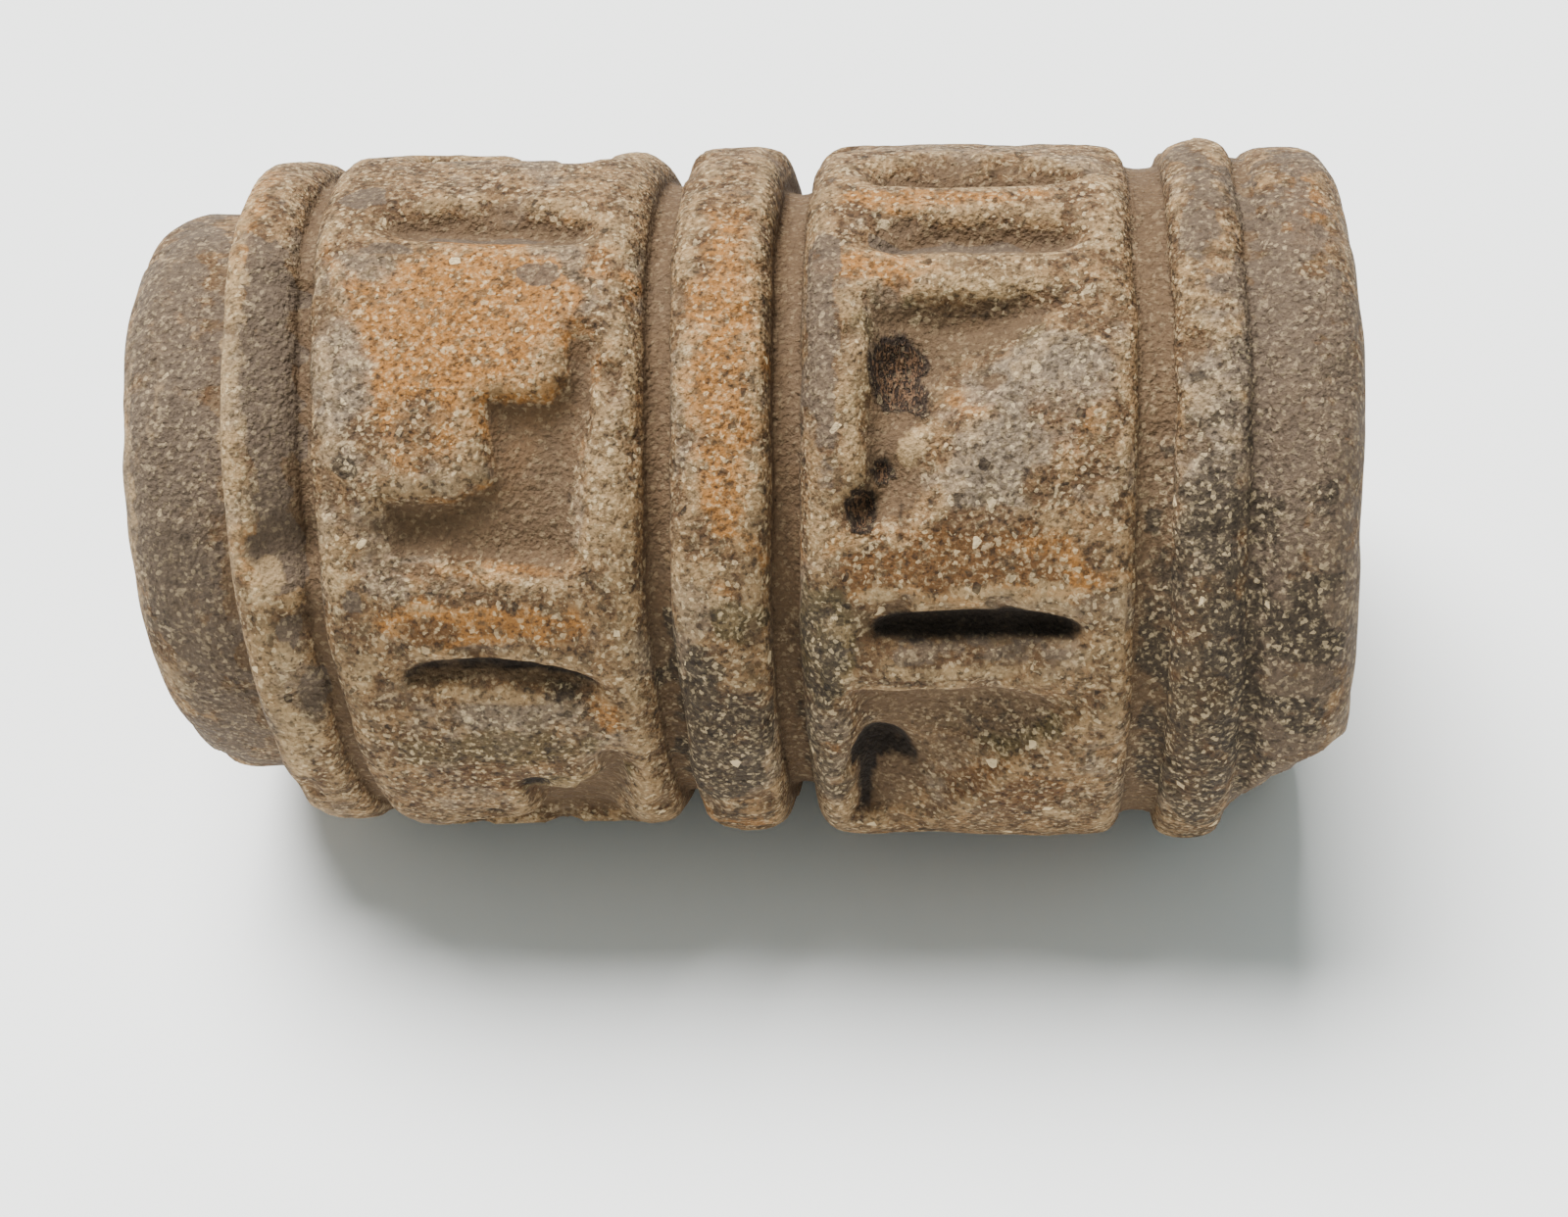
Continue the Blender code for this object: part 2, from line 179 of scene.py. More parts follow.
@dataclass(frozen=True)
class Band:
    """One raised band: a crown that swells a little between two rounded shoulders."""

    start: float
    width: float
    left_foot: float
    crown: float
    right_foot: float
    left_shoulder: float
    right_shoulder: float
    swell: float = 0.12

    def outline(self) -> Corners:
        """Return the band's outline from foot to foot.

        Each shoulder is a quarter ellipse from the groove's floor to the crown, and the
        crown rises between them by the swell, as half a sine wave.

        Returns:
            Points of place along the axis and radius.
        """
        end = self.start + self.width
        flat = self.width - self.left_shoulder - self.right_shoulder
        left = quarter((self.start, self.left_foot), self.left_shoulder,
                       self.crown - self.left_foot)
        right = quarter((end, self.right_foot), -self.right_shoulder,
                        self.crown - self.right_foot)
        crown = [(self.start + self.left_shoulder + flat * share,
                  self.crown + self.swell * math.sin(math.pi * share))
                 for share in np.linspace(0.0, 1.0, 9)[1:-1]]
        return left + crown + right[::-1]


@dataclass(frozen=True)
class TurnedOutline:
    """The roller's outline before carving: widths along the axis and drops of the bands.

    Each drop is how far a band or groove lies below the widest ring.
    """

    left_dome: float = 0.7
    collar_width: float = 7.8
    left_ring_width: float = 4.6
    groove_1_width: float = 0.9
    left_panel_width: float = 19.9
    groove_2_width: float = 1.4
    middle_ring_width: float = 6.1
    groove_3_width: float = 1.6
    right_panel_width: float = 19.7
    groove_4_width: float = 2.1
    right_ring_width: float = 4.4
    groove_5_width: float = 0.9
    end_band_width: float = 5.9
    right_dome: float = 0.6
    widest_radius: float = 22.7
    collar_drop: float = 4.1
    left_ring_drop: float = 0.7
    left_panel_drop: float = 0.5
    middle_ring_drop: float = 0.3
    right_panel_drop: float = 0.2
    end_band_drop: float = 0.5
    groove_drops: tuple[float, ...] = (2.2, 2.9, 3.3, 1.7, 1.5)
    shoulder: float = 1.7
    left_rim_drop: float = 4.0
    left_rounding: float = 3.4
    right_rim_drop: float = 4.0
    right_rounding: float = 2.6
    flat_depth: float = 0.8

    @property
    def widths(self) -> dict[str, float]:
        """Widths of the bands and grooves by name, from left to right."""
        return {item.name.removesuffix("_width"): getattr(self, item.name)
                for item in fields(self) if item.name.endswith("_width")}

    @property
    def length(self) -> float:
        """Whole length along the axis."""
        return sum(self.widths.values(), self.left_dome) + self.right_dome

    def start(self, name: str) -> float:
        """Return where a band starts along the axis.

        Args:
            name: The band's name, such as "left_panel".

        Returns:
            Half the length back, then on by all the widths on its left.
        """
        place = self.left_dome - self.length / 2
        for left, width in self.widths.items():
            if left == name:
                break
            place += width
        return place

    @property
    def left_rim_radius(self) -> float:
        """Radius where the left end's dome meets the collar's rounding."""
        return self.widest_radius - self.collar_drop - self.left_rim_drop

    def bands(self) -> list[Band]:
        """Make the five raised bands between the collar and the end band.

        Returns:
            The bands from left to right.
        """
        widest = self.widest_radius
        feet = [widest - self.collar_drop] + [widest - drop for drop in self.groove_drops]
        bands = [
            ("left_ring", self.left_ring_drop, 0.9, 1.6),
            ("left_panel", self.left_panel_drop, 1.5, 2.0),
            ("middle_ring", self.middle_ring_drop, 1.0, 1.2),
            ("right_panel", self.right_panel_drop, 1.7, 1.3),
            ("right_ring", 0.0, 1.0, 1.4),
        ]
        return [Band(self.start(name), self.widths[name], feet[i], widest - drop, feet[i + 1],
                     left, right) for i, (name, drop, left, right) in enumerate(bands)]

    def points(self) -> Grid:
        """Return the whole outline, from the middle of the left end to the right's.

        The ends are shallow domes.  The rims round over into the collar and the end band
        as quarter ellipses.

        Returns:
            An array of place along the axis and radius.
        """
        half = self.length / 2
        end_radius = self.widest_radius - self.end_band_drop
        right_rim = end_radius - self.right_rim_drop
        groove = self.widest_radius - self.groove_drops[-1]
        points = [(self.left_dome * share ** 2 - half, self.left_rim_radius * share)
                  for share in np.linspace(0.04, 0.96, 12)]
        points += quarter((self.start("collar"), self.left_rim_radius), self.left_rounding,
                          self.left_rim_drop, 12)
        for band in self.bands():
            points += band.outline()
        points += quarter((self.start("end_band"), groove), self.shoulder, end_radius - groove)
        points += quarter((half - self.right_dome, right_rim), -self.right_rounding,
                          self.right_rim_drop, 12)[::-1]
        points += [(half - self.right_dome * share ** 2, right_rim * share)
                   for share in np.linspace(0.96, 0.04, 14)]
        return np.array(points)

    def rows(self, count: int, end_share: float) -> Grid:
        """Space grid rows along the outline, evenly over the barrel and wider on the ends.

        Args:
            count: How many rows.
            end_share: How much an end's length counts against the barrel's.

        Returns:
            An array of place along the axis and radius, one row each.
        """
        points = self.points()
        steps = np.linalg.norm(np.diff(points, axis=0), axis=1)
        middle = (points[1:, 1] + points[:-1, 1]) / 2
        weight = np.where(middle < self.left_rim_radius, end_share, 1.0)
        along = np.concatenate([[0.0], np.cumsum(steps * weight)])
        wanted = np.linspace(0.0, along[-1], count)
        return np.stack([np.interp(wanted, along, points[:, k]) for k in (0, 1)], axis=1)


@dataclass(frozen=True)
class Lean:
    """How the maker's grooves lean on the left half."""

    slope: float = 0.07
    direction: float = -45.0
    full_at: float = -24.0
    gone_at: float = 6.0

    def shift(self, points: Grid) -> Grid:
        """Return how far each point moves along the axis.

        The distance across the axis in the lean's direction times a slope, which is whole
        on the left and fades out past the middle.

        Args:
            points: Points in millimetres, measured from the axis.

        Returns:
            The move along the axis, negative to the left.
        """
        turn = math.radians(self.direction)
        across = -points[..., 1] * math.sin(turn) + points[..., 2] * math.cos(turn)
        share = np.clip((self.gone_at - points[..., 0]) / (self.gone_at - self.full_at), 0, 1)
        return -self.slope * share * across


def line_distance(x: Grid, y: Grid, corners: Corners) -> Grid:
    """Return how far points are from a line through corners.

    Args:
        x: First coordinate of each point.
        y: Second coordinate of each point.
        corners: The line's corners in order.

    Returns:
        The distance to the nearest stretch of the line.
    """
    nearest = np.full(x.shape, 1e9)
    for (ax, ay), (bx, by) in zip(corners, corners[1:]):
        dx, dy = bx - ax, by - ay
        share = np.clip(((x - ax) * dx + (y - ay) * dy) / (dx * dx + dy * dy), 0.0, 1.0)
        nearest = np.minimum(nearest, np.hypot(x - ax - share * dx, y - ay - share * dy))
    return nearest


def inset(x: Grid, y: Grid, corners: Corners) -> Grid:
    """Return how far points lie inside a closed outline, which is below zero outside it.

    A point is inside where a line from it crosses the outline's sides an odd number of times.

    Args:
        x: First coordinate of each point.
        y: Second coordinate of each point.
        corners: The outline's corners in order.

    Returns:
        The distance to the nearest side.
    """
    inside = np.zeros(x.shape, dtype=bool)
    for (ax, ay), (bx, by) in zip(corners, corners[1:] + corners[:1]):
        if ay != by:
            crosses = (ay > y) != (by > y)
            inside ^= crosses & (x < (bx - ax) * (y - ay) / (by - ay) + ax)
    distance = line_distance(x, y, corners + corners[:1])
    return np.where(inside, distance, -distance)


@dataclass(frozen=True)
class GougedSlot:
    """A lens-shaped slot, cut steeply on its upper side and sloping out on its lower side."""

    left: float
    right: float
    centre: float
    half_turn: float
    depth: float
    bow: float = 1.2
    tilt: float = 0.0
    crease: float = -0.45
    # Strength of the painted shade in the crease under the upper lip, and where across the slot it
    # ends
    soot: float = 0.0
    soot_end: float = 0.2

    def share(self, x: Grid, turn: Grid) -> tuple[Grid, Grid]:
        """Measure where points lie in the slot.

        Along the slot the width is a flattened half ellipse and its middle line bows up.

        Args:
            x: Place along the axis.
            turn: Turn round the axis.

        Returns:
            Places along and across the slot, from -1 at one lip to 1 at the other.
        """
        along = (2.0 * x - self.left - self.right) / (self.right - self.left)
        half = self.half_turn * np.clip(1.0 - np.abs(along) ** 2.6, 1e-6, 1.0) ** 0.7
        middle = self.bow * along ** 2 + self.tilt * along
        return along, (turn_gap(turn, self.centre) - middle) / (half + 0.4)

    def shade(self, x: Grid, turn: Grid) -> Grid:
        """Return how much painted shade blackens the crease under the upper lip.

        Args:
            x: Place along the axis.
            turn: Turn round the axis.

        Returns:
            Shares from 0 to the slot's strength of painted shade.
        """
        along, across = self.share(x, turn)
        crease = ramp(across, -1.1, -0.8) * ramp(across - self.soot_end, 0.15, -0.25)
        return self.soot * crease * ramp(1.0 - np.abs(along), 0.04, 0.2)

    def cut(self, x: Grid, turn: Grid) -> Grid:
        """Return the depth cut away.

        Across the slot the depth grows fast from the upper lip to the crease and falls
        off slowly from there to the lower lip.

        Args:
            x: Place along the axis.
            turn: Turn round the axis.

        Returns:
            The depth in millimetres.
        """
        along, across = self.share(x, turn)
        upper = ramp(across, -1.0, self.crease)
        lower = 1.0 - np.clip((across - self.crease) / (1.0 - self.crease), 0.0, 1.0) ** 1.5
        shape = np.where(across < self.crease, upper, lower)
        return self.depth * shape * ramp(1.0 - np.abs(along), 0.0, 0.3)


@dataclass(frozen=True)
class SteppedFret:
    """A stepped recess: a narrow stem by the panel's border, a shelf and a wide foot."""

    start: float
    left: float
    right: float
    radius: float
    depth: float = 1.9
    top: float = 18.4
    first_step: float = 30.6
    second_step: float = 47.0
    bottom: float = 60.0
    stem: float = 2.4
    drift: float = 1.2
    shelf: float = 7.4
    slant: float = 2.0
    fall: float = 2.0
    wall: float = 0.7
    stem_slope: float = 0.9
    right_slope: float = 2.6
    bottom_slope: float = 1.6

    def cut(self, x: Grid, turn: Grid, ragged: Grid) -> Grid:
        """Return the depth cut away.

        The product of four ramps: a steep one all round the outline, and gentle ones in
        from the border on the right, up from the foot and down from the stem's top.

        Args:
            x: Place along the axis.
            turn: Turn round the axis.
            ragged: Noise that makes the edge wander, in millimetres.

        Returns:
            The depth in millimetres.
        """
        shelf = self.right - self.shelf
        # Clockwise from the stem's top left; the inner corners are cut off a little
        turns = [(self.right - self.stem, self.top), (self.right, self.top),
                 (self.right - self.drift, self.bottom), (self.left, self.bottom - self.fall),
                 (self.left, self.second_step), (shelf - self.slant, self.second_step),
                 (shelf, self.second_step - 3.0), (shelf, self.first_step),
                 (self.right - self.stem - 1.1, self.first_step),
                 (self.right - self.stem, self.first_step - 3.4)]
        corners = [(along, math.radians(angle) * self.radius) for along, angle in turns]
        gap = np.radians(turn_gap(turn, self.start)) * self.radius
        edge = inset(x, gap, corners) + ragged
        border = line_distance(x, gap, corners[1:3]) + 0.5 * ragged
        foot = line_distance(x, gap, corners[2:4]) + 0.5 * ragged
        lower = ramp(turn_gap(turn, self.start), self.first_step, self.second_step)
        slope = self.stem_slope + (self.right_slope - self.stem_slope) * lower
        share = ramp(edge, -0.2, self.wall) * ramp((border + 0.4) / (slope + 0.4), 0.0, 1.0)
        share = share * ramp(turn_gap(turn, self.start), self.top - 3.0, self.top + 6.0)
        return self.depth * share * ramp(foot, -0.4, self.bottom_slope)


@dataclass(frozen=True)
class WedgeRecess:
    """A three-cornered recess, deep along its top and left wall, shallow at its slant."""

    start: float
    left: float
    right: float
    radius: float
    slant: Pairs
    depth: float = 2.3
    top: float = 11.4
    tip: float = 49.5
    wall: float = 1.3
    step: float = 0.7
    slope: float = 5.0

    def cut(self, x: Grid, turn: Grid, ragged: Grid) -> Grid:
        """Return the depth cut away.

        A steep ramp all round the outline, times a floor that rises towards the slant
        and leaves only a small step there.

        Args:
            x: Place along the axis.
            turn: Turn round the axis.
            ragged: Noise that makes the edges wander, in millimetres.

        Returns:
            The depth in millimetres.
        """
        turns = ((self.left, self.tip), (self.left, self.top), (self.right, self.top)) + self.slant
        corners = [(along, math.radians(angle) * self.radius) for along, angle in turns]
        gap = np.radians(turn_gap(turn, self.start)) * self.radius
        edge = inset(x, gap, corners) + ragged
        rise = line_distance(x, gap, corners[3:]) + ragged
        floor = self.step + (self.depth - self.step) * ramp(rise, 0.0, self.slope)
        return floor * ramp(edge, -0.2, self.wall)


@dataclass(frozen=True)
class FlankBreak:
    """A long break along a ring's flank with a ragged edge."""

    left: float
    right: float
    top: float
    bottom: float
    depth: float
    radius: float

    def cut(self, x: Grid, turn: Grid, ragged: Grid) -> Grid:
        """Return the depth: the least of how far a point is inside each of four sides.

        The broken face slopes down to the right.

        Args:
            x: Place along the axis.
            turn: Turn round the axis.
            ragged: Noise that makes the edges wander.

        Returns:
            The depth in millimetres.
        """
        down = np.radians(turn_gap(turn, self.top)) * self.radius
        up = np.radians(turn_gap(turn, self.bottom)) * -self.radius
        inside = np.minimum(np.minimum(x - self.left, self.right - x), np.minimum(down, up) * 0.6)
        slope = 0.7 + 0.5 * ramp(x, self.left, self.right)
        return self.depth * slope * ramp(inside + 0.45 * ragged, -0.2, 0.6)


@dataclass(frozen=True)
class Patch:
    """An oval patch of the surface."""

    x: float
    turn: float
    half_x: float
    half_turn: float

    def reach(self, x: Grid, turn: Grid) -> Grid:
        """Return how far points are from the middle: 0 there and 1 at the patch's edge."""
        return np.hypot((x - self.x) / self.half_x, turn_gap(turn, self.turn) / self.half_turn)


@dataclass(frozen=True)
class Dent(Patch):
    """A chip, pit or bite: a bowl with a ragged edge."""

    depth: float
    ragged: float = 0.35

    def cut(self, x: Grid, turn: Grid, noise: Grid) -> Grid:
        """Return the bowl's depth, deepest in its middle; the noise makes its edge ragged."""
        return self.depth * ramp(1.0 - self.reach(x, turn) + self.ragged * noise, 0.0, 0.75)


@dataclass(frozen=True)
class BossHollow:
    """A curved hollow that arches over a small boss left standing in a wedge."""

    x: float
    turn: float
    radius: float
    half_x: float = 2.4
    half_y: float = 5.4
    width: float = 0.3
    thicker: float = 0.9
    depth: float = 1.7

    def share(self, x: Grid, turn: Grid) -> Grid:
        """Return how deep the hollow is as a share of its depth.

        A bell curve across an oval ring, widest on the left, full there and above the
        boss, and gone on its lower right.

        Args:
            x: Place along the axis.
            turn: Turn round the axis.

        Returns:
            Shares from 0 to 1.
        """
        along = (x - self.x) / self.half_x
        down = np.radians(turn_gap(turn, self.turn)) * self.radius / self.half_y
        above = ramp(-0.2 * down - 0.8 * along, -0.85, 0.25)
        width = self.width * (1.0 + self.thicker * np.clip(-along, 0.0, 1.0))
        return above * np.exp(-((np.hypot(along, down) - 1.0) / width) ** 2)


@dataclass(frozen=True)
class BrokenEnd:
    """The chip off the right end: a rough plane that dips towards the end."""

    turn: float = 126.0
    top_radius: float = 20.1
    slope: float = 0.62
    roughness: float = 0.45

    def strip(self, points: Grid, start: float, noise: Grid) -> tuple[Grid, Grid]:
        """Push what stands above the broken plane down onto it.

        Args:
            points: Points in millimetres, measured from the axis.
            start: Where the break starts along the axis.
            noise: Noise for the roughness of the break.

        Returns:
            The points after the break, and how much was taken from each.
        """
        angle = math.radians(self.turn)
        out = np.array([0.0, -math.sin(angle), math.cos(angle)])
        up = out + self.slope * np.array([1.0, 0.0, 0.0])
        up /= np.linalg.norm(up)
        face = np.array([start, 0.0, 0.0]) + self.top_radius * out
        height = (points - face) @ up + self.roughness * noise
        taken = np.clip(height, 0.0, None) * ramp(points[..., 0], start - 1.2, start - 0.5)
        return points - taken[..., None] * up, taken


class Tone(Enum):
    """What changes the clay's colour, painted shade too; each value is the name of its attribute.
    """

    OCHRE = "ochre"
    GREY = "grey"
    # Soot, and on the lower side also painted shade
    SOOT = "soot"
    PALE = "pale"
    OLIVE = "olive"
    RUST = "rust"
    SOIL = "soil"
    FIBRES = "fibres"
    # Painted shade: black in pits, cracks, creases and under slot lips
    BLACK = "black"


@dataclass(frozen=True)
class Stain(Patch):
    """A patch of colour with a ragged edge."""

    strength: float = 1.0

    def cover(self, x: Grid, turn: Grid, noise: Grid) -> Grid:
        """Return the share that the patch covers; the noise makes its edge ragged."""
        return self.strength * ramp(1.2 - self.reach(x, turn) + 0.55 * noise, 0.0, 0.55)


@dataclass(frozen=True)
class Lens:
    """The camera as the photograph was taken: place in millimetres, turns in degrees."""

    place: tuple[float, float, float] = (15.66, -124.48, 147.24)
    yaw: float = -6.422
    pitch: float = 47.579
    roll: float = -4.722
    focal_pixels: float = 2712.1

    def matrix(self) -> Matrix:
        """Work out how the camera looks ahead, down by the pitch, and then rolls.

        Returns:
            The camera's place and turn.
        """
        yaw, pitch, roll = (math.radians(v) for v in (self.yaw, self.pitch, self.roll))
        ahead = Vector((math.sin(yaw) * math.cos(pitch), math.cos(yaw) * math.cos(pitch),
                        -math.sin(pitch)))
        right = Vector((math.cos(yaw), -math.sin(yaw), 0.0))
        up = right.cross(ahead)
        turned_right = math.cos(roll) * right + math.sin(roll) * up
        turned_up = -math.sin(roll) * right + math.cos(roll) * up
        turned = Matrix((turned_right, turned_up, -ahead)).transposed().to_4x4()
        return Matrix.Translation(Vector(self.place) * MM) @ turned

    def place_camera(self) -> None:
        """Create the camera and make it the scene's."""
        data = bpy.data.cameras.new("camera")
        data.sensor_width = SENSOR_MM
        data.lens = self.focal_pixels * SENSOR_MM / PHOTO_WIDTH
        data.clip_start = 0.01
        camera = bpy.data.objects.new("camera", data)
        camera.matrix_world = self.matrix()
        bpy.context.scene.collection.objects.link(camera)
        bpy.context.scene.camera = camera


def add_node(tree: bpy.types.NodeTree, kind: str, settings: dict | None = None,
             links: dict | None = None) -> bpy.types.Node:
    """Add a shader node, set it up and wire its inputs.

    Args:
        tree: The node tree.
        kind: The shader node's type, such as "Mix".
        settings: Values by name: a property of the node, or an input by name or number.
        links: Output sockets by the name or number of the input that they feed.

    Returns:
        The new node.
    """
    node = tree.nodes.new("ShaderNode" + kind)
    for name, value in (settings or {}).items():
        if isinstance(name, str) and hasattr(node, name):
            setattr(node, name, value)
        else:
            node.inputs[name].default_value = value
    for name, socket in (links or {}).items():
        tree.links.new(socket, node.inputs[name])
    return node


@dataclass(frozen=True)
class FiredClay:
    """Low-fired earthenware tempered with crushed rock, hand formed and long buried.

    The bare clay is a sandy brown that looks gritty, because pale grains of temper stand
    in it.  Rubbed crowns are paler, partly from wear and partly from a painted highlight; a dull
    purplish soil fills the hollows, and painted shade darkens the creases, pits and undercuts.
    """

    clay: str = "#7b5e3e"
    clay_dark: str = "#523b25"
    ochre: str = "#8f5f2c"
    grey: str = "#716251"
    # Soot, also used as painted shade on the lower side
    soot: str = "#372e23"
    # Paler clay, also used for painted highlight on edges and lit ridges
    pale: str = "#a0845e"
    olive: str = "#463a21"
    rust: str = "#50361e"
    fleck: str = "#54442f"
    dust: str = "#57432f"
    soil: str = "#55473a"
    # Colour of painted shade in creases, pits and undercuts
    painted_shade: str = "#19120c"
    fibre: str = "#684c35"
    fibre_gap: str = "#2b1f16"
    grain_light: str = "#d2b98f"
    grain_dark: str = "#1e150d"
    patch_mm: float = 7.0
    mottle_mm: float = 1.5
    fleck_mm: float = 1.1
    grit_mm: float = 0.38
    grain_mm: float = 0.24
    root_mm: float = 0.27

    def material(self) -> bpy.types.Material:
        """Build the material.

        Returns:
            The clay, with its stains, painted shade and painted highlight from the piece's
            attributes.
        """
        material = bpy.data.materials.new("fired_clay")
        material.use_nodes = True
        tree = material.node_tree
        shader = tree.nodes["Principled BSDF"]
        shader.inputs["Metallic"].default_value = 0.0
        shader.inputs["IOR"].default_value = 1.5
        shader.inputs["Specular IOR Level"].default_value = 0.25
        place = add_node(tree, "TexCoord").outputs["Object"]
        names = [tone.value for tone in Tone] + ["dust", "rubbed_and_highlight", "painted_shade", "bare"]
        mask = {name: add_node(tree, "Attribute",
                               {"attribute_name": name}).outputs["Fac"] for name in names}
        noise = {name: add_node(tree, "TexNoise",
                                {"Scale": 1.0 / (size * MM), "Detail": detail, "Roughness": 0.65},
                                {"Vector": place}).outputs["Fac"]
                 for name, size, detail in (("patch", self.patch_mm, 4.0),
                                            ("mottle", self.mottle_mm, 5.0),
                                            ("fleck", self.fleck_mm, 3.0),
                                            ("grit", self.grit_mm, 2.0))}

        # Each stain, the painted black shade and the painted edge highlight are broken up by the
        # mottle, so their edges are ragged and clay shows through
        ragged = {name: add_node(tree, "Math", {"operation": "MULTIPLY_ADD", 1: 1.3},
                                 {0: noise["mottle"], 2: mask[name]}).outputs[0]
                  for name in names[:-2]}

        # Roots left in the broken pit: noise drawn out round the axis
        drawn_out = add_node(tree, "Mapping", {"Scale": (1.0, 0.36, 0.36)},
                             {"Vector": place}).outputs["Vector"]
        roots = add_node(tree, "TexNoise",
                         {"Scale": 1.0 / (self.root_mm * MM), "Detail": 2.0, "Distortion": 2.0},
                         {"Vector": drawn_out}).outputs["Fac"]
        threads = add_node(tree, "Math", {"operation": "MULTIPLY"},
                           {0: roots, 1: mask["fibres"]}).outputs[0]

        # Coats from the bare clay outwards: what is read, where it starts and is full, how
        # much it covers at most, and its colour
        coats = (
            (noise["mottle"], 0.43, 0.57, 1.0, self.clay),
            (noise["patch"], 0.52, 0.62, 0.6, self.grey),
            (noise["patch"], 0.47, 0.36, 0.5, self.clay_dark),
            (ragged["ochre"], 0.70, 1.70, 0.95, self.ochre),
            (ragged["grey"], 0.75, 1.65, 0.9, self.grey),
            (ragged["olive"], 0.95, 1.45, 0.85, self.olive),
            (ragged["rust"], 0.95, 1.45, 0.85, self.rust),
            (noise["fleck"], 0.53, 0.60, 0.6, self.fleck),
            (noise["fleck"], 0.44, 0.37, 0.22, self.pale),
            (ragged["dust"], 0.90, 1.36, 0.9, self.dust),
            (ragged["soil"], 1.14, 1.32, 0.88, self.soil),
            (ragged["soot"], 1.12, 1.42, 0.86, self.soot),
            (ragged["pale"], 1.15, 1.60, 0.66, self.pale),
            # Paler edges: partly rubbed wear, partly painted highlight
            (ragged["rubbed_and_highlight"], 1.10, 1.70, 0.36, self.pale),
            # Painted shade, darker in creases and recesses
            (mask["painted_shade"], 0.0, 1.0, 0.8, self.painted_shade),
            # Painted shade in black, in pits, cracks, slot creases and boss hollows
            (ragged["black"], 0.95, 1.65, 0.95, self.painted_shade),
            (ragged["fibres"], 0.95, 1.30, 0.95, self.fibre_gap),
            (threads, 0.45, 0.54, 0.95, self.fibre),
        )
        # Grit and grains of temper, which soil and the painted black shade hide: first the finest
        # noise, then crushed rock, where every cell is a grain and the palest and darkest of them
        # show
        cells = [add_node(tree, "TexVoronoi",
                          {"feature": "F1", "Scale": 1.0 / (size * self.grain_mm * MM)},
                          {"Vector": place}) for size in (1.0, 1.3, 2.1)]
        grains = (
            (noise["grit"], 0.52, 0.72, 0.36, self.grain_light),
            (noise["grit"], 0.48, 0.31, 0.70, self.grain_dark),
            (cells[0].outputs["Color"], 0.74, 0.88, 0.44, self.grain_light),
            (cells[1].outputs["Color"], 0.24, 0.12, 0.52, self.grain_dark),
            (cells[2].outputs["Color"], 0.93, 0.96, 0.80, self.grain_light),
            (cells[2].outputs["Color"], 0.09, 0.06, 0.75, self.grain_dark),
        )
        colour = add_node(tree, "Mix", {"data_type": "RGBA", 0: 0.0,
                                                  6: linear_colour(self.clay_dark)}).outputs[2]
        for index, (value, start, full, most, code) in enumerate(coats + grains):
            share = add_node(tree, "MapRange",
                             {"interpolation_type": "SMOOTHSTEP", "From Min": start,
                              "From Max": full, "To Max": most}, {"Value": value}).outputs[0]
            if index >= len(coats):
                share = add_node(tree, "Math", {"operation": "MULTIPLY"},
                                 {0: share, 1: mask["bare"]}).outputs[0]
            colour = add_node(tree, "Mix", {"data_type": "RGBA", 7: linear_colour(code)},
                              {0: share, 6: colour}).outputs[2]
        tree.links.new(colour, shader.inputs["Base Color"])

        # Gritty to the touch: lumps, grit and single grains, each a bump over the last
        normal = None
        for height, strength, distance, sunk in ((noise["mottle"], 0.7, 0.6, False),
                                                 (noise["grit"], 0.9, 0.2, False),
                                                 (cells[1].outputs["Distance"], 0.7, 0.12, True),
                                                 (threads, 1.0, 0.5, False)):
            links = {"Height": height} if normal is None else {"Height": height, "Normal": normal}
            normal = add_node(tree, "Bump",
                              {"Strength": strength, "Distance": distance * MM, "invert": sunk},
                              links).outputs["Normal"]
        tree.links.new(normal, shader.inputs["Normal"])
        roughness = add_node(tree, "MapRange", {"To Min": 0.8, "To Max": 0.97},
                             {"Value": noise["grit"]}).outputs["Result"]
        tree.links.new(roughness, shader.inputs["Roughness"])
        return material
